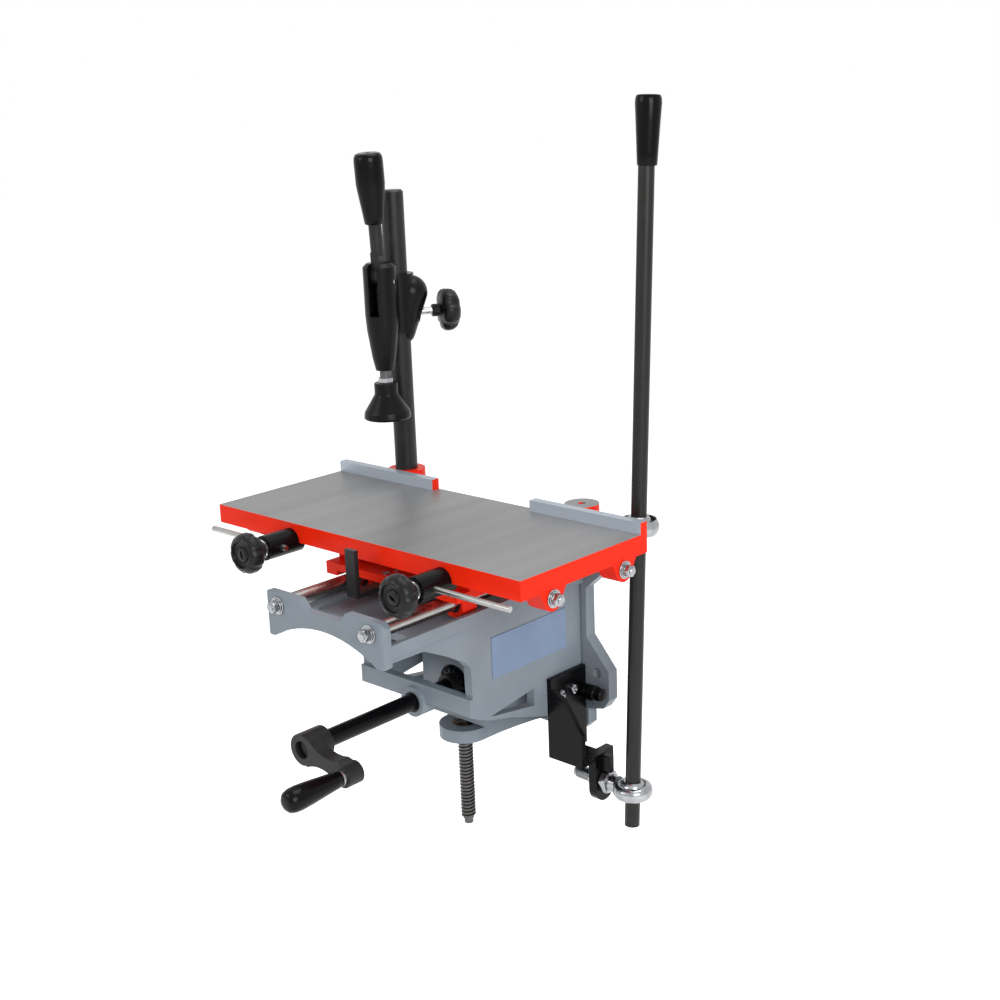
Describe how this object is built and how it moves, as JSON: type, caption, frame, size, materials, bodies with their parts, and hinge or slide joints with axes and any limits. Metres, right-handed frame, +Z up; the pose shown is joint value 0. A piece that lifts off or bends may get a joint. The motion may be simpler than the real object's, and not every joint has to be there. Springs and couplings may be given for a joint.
{
  "type": "slot mortiser",
  "caption": "Wall-bolted slot mortising attachment: crank-raised knee, cross-sliding table on guide rods, single hand lever and an eccentric work clamp on a post.",
  "frame": {"origin": "centre of the four wall bolts, on the back face of the wall plate", "axes": "+X along the table towards the hand lever, +Y out of the back face into the carrying machine, +Z up"},
  "size_m": [0.462, 0.448, 0.7575],
  "materials": {
    "cast_grey": "semi-gloss blue-grey enamel on cast iron",
    "red_paint": "gloss red enamel on cast iron, with a machined top",
    "steel": "ground and polished steel",
    "zinc": "bright zinc plate",
    "dark_steel": "dark phosphated steel",
    "black_steel": "satin black",
    "black_cast": "satin black on a rough casting",
    "black_grip": "moulded grip",
    "knob": "moulded thermoset knob",
    "bronze": "bearing bronze",
    "liner": "bearing liner",
    "label": "bare satin label plate"
  },
  "bodies": {
    "wall_mount": {"wall_plate": "cast_grey", "spindle_nut": "bronze"},
    "knee": {"knee_casting": "cast_grey", "gib_strip": "steel", "y_rod_left": "steel", "y_rod_right": "steel", "y_rod_screws": "zinc", "crank_bush": "bronze", "spindle_bush": "bronze", "label_plate": "label", "lever_bracket": "black_steel", "bracket_screws": "zinc", "lower_rod_end": "zinc", "lower_rod_nuts": "zinc"},
    "lock_screw": {"height_lock": "black_steel"},
    "lift_screw": {"spindle": "steel", "spindle_bevel": "dark_steel"},
    "crank": {"crank_shaft": "black_steel", "crank_bevel": "dark_steel", "crank_arm": "dark_steel", "crank_axle": "zinc"},
    "crank_handle": {"crank_grip": "black_grip"},
    "cross_carriage": {"carriage": "red_paint", "y_bushes": "bronze", "x_bushes": "bronze", "stop_tab": "dark_steel", "tab_screws": "zinc"},
    "work_table": {"table": "red_paint", "x_rod_front": "steel", "x_rod_rear": "steel", "x_rod_screws": "zinc", "stop_block_left": "black_steel", "stop_block_right": "black_steel", "upper_rod_end": "zinc", "upper_rod_nut": "zinc", "post_screw": "zinc"},
    "left_stop": {"stop_rod_left": "steel"},
    "right_stop": {"stop_rod_right": "steel"},
    "left_stop_screw": {"stop_knob_left": "knob", "stop_stud_left": "zinc"},
    "right_stop_screw": {"stop_knob_right": "knob", "stop_stud_right": "zinc"},
    "post": {"clamp_post": "dark_steel"},
    "clamp_arm": {"clamp_body": "black_cast", "clamp_pivot_pin": "zinc"},
    "clamp_screw": {"clamp_knob": "knob", "clamp_knob_screw": "zinc"},
    "clamp_handle": {"clamp_lever": "dark_steel", "clamp_lever_grip": "black_grip"},
    "clamp_plunger": {"plunger": "zinc", "plunger_nut": "zinc"},
    "foot": {"clamp_foot": "black_cast"},
    "lever_swivel": {"lever_liner": "liner"},
    "hand_lever": {"lever_rod": "dark_steel", "lever_grip": "black_grip", "lower_ball": "zinc", "upper_ball": "zinc"}
  },
  "joints": [
    {"name": "crank_spin", "type": "hinge", "parent": "knee", "child": "crank", "pos_m": [0, -0.2, -0.064], "axis": [0, -1, 0], "range_deg": [-640, 7250]},
    {"name": "height_slide", "type": "slide", "parent": "wall_mount", "child": "knee", "axis": [0, 0, 1], "range_m": [-0.007, 0.08]},
    {"name": "spindle_spin", "type": "hinge", "parent": "knee", "child": "lift_screw", "pos_m": [0, -0.116, 0], "axis": [0, 0, 1], "range_deg": [-640, 7250]},
    {"name": "crank_grip_spin", "type": "hinge", "parent": "crank", "child": "crank_handle", "pos_m": [0.06025, -0.375, -0.07354], "axis": [0, -1, 0], "continuous": true},
    {"name": "height_lock_spin", "type": "hinge", "parent": "knee", "child": "lock_screw", "pos_m": [0.1, -0.024, -0.083], "axis": [1, 0, 0], "continuous": true},
    {"name": "carriage_slide", "type": "slide", "parent": "knee", "child": "cross_carriage", "axis": [0, 1, 0], "range_m": [-0.077, 0.002]},
    {"name": "table_slide", "type": "slide", "parent": "cross_carriage", "child": "work_table", "axis": [1, 0, 0], "range_m": [-0.044, 0.08]},
    {"name": "lever_fore", "type": "hinge", "parent": "knee", "child": "lever_swivel", "pos_m": [0.161, -0.03288, -0.174], "axis": [1, 0, 0], "range_deg": [-0.45, 15.54]},
    {"name": "lever_side", "type": "hinge", "parent": "lever_swivel", "child": "hand_lever", "pos_m": [0.161, -0.03288, -0.174], "axis": [0, 1, 0], "range_deg": [-8.7, 15.77]},
    {"name": "stop_left_slide", "type": "slide", "parent": "work_table", "child": "left_stop", "axis": [1, 0, 0], "range_m": [-0.005, 0.012]},
    {"name": "stop_right_slide", "type": "slide", "parent": "work_table", "child": "right_stop", "axis": [1, 0, 0], "range_m": [-0.031, 0.005]},
    {"name": "stop_left_knob_spin", "type": "hinge", "parent": "work_table", "child": "left_stop_screw", "pos_m": [-0.131, -0.27, 0.095], "axis": [0, -1, 0], "continuous": true},
    {"name": "stop_right_knob_spin", "type": "hinge", "parent": "work_table", "child": "right_stop_screw", "pos_m": [0.09, -0.27, 0.095], "axis": [0, -1, 0], "continuous": true},
    {"name": "post_turn", "type": "hinge", "parent": "work_table", "child": "post", "pos_m": [-0.162, -0.028, 0.2], "axis": [0, 0, 1], "range_deg": [-60, 60]},
    {"name": "clamp_slide", "type": "slide", "parent": "post", "child": "clamp_arm", "axis": [0, 0, 1], "range_m": [-0.05, 0.08]},
    {"name": "clamp_knob_spin", "type": "hinge", "parent": "clamp_arm", "child": "clamp_screw", "pos_m": [-0.137, 0.0153, 0.302], "axis": [0.5, 0.866, 0], "continuous": true},
    {"name": "clamp_lever_turn", "type": "hinge", "parent": "clamp_arm", "child": "clamp_handle", "pos_m": [-0.14866, -0.06465, 0.342], "axis": [0.9397, 0.342, 0], "range_deg": [0, 85]},
    {"name": "plunger_slide", "type": "slide", "parent": "clamp_arm", "child": "clamp_plunger", "axis": [0, 0, 1], "range_m": [-0.006, 0]},
    {"name": "foot_spin", "type": "hinge", "parent": "clamp_plunger", "child": "foot", "pos_m": [-0.14866, -0.06465, 0.202], "axis": [0, 0, 1], "continuous": true}
  ],
  "couplings": [
    {"joint": "crank_spin", "follows": "height_slide", "rad_per_m": 1570.8},
    {"joint": "spindle_spin", "follows": "height_slide", "rad_per_m": 1570.8},
    {"joint": "lever_fore", "follows": "carriage_slide", "rad_per_m": -3.51},
    {"joint": "lever_side", "follows": "table_slide", "rad_per_m": 3.43},
    {"joint": "clamp_lever_turn", "follows": "plunger_slide", "rad_per_m": -244.5}
  ]
}
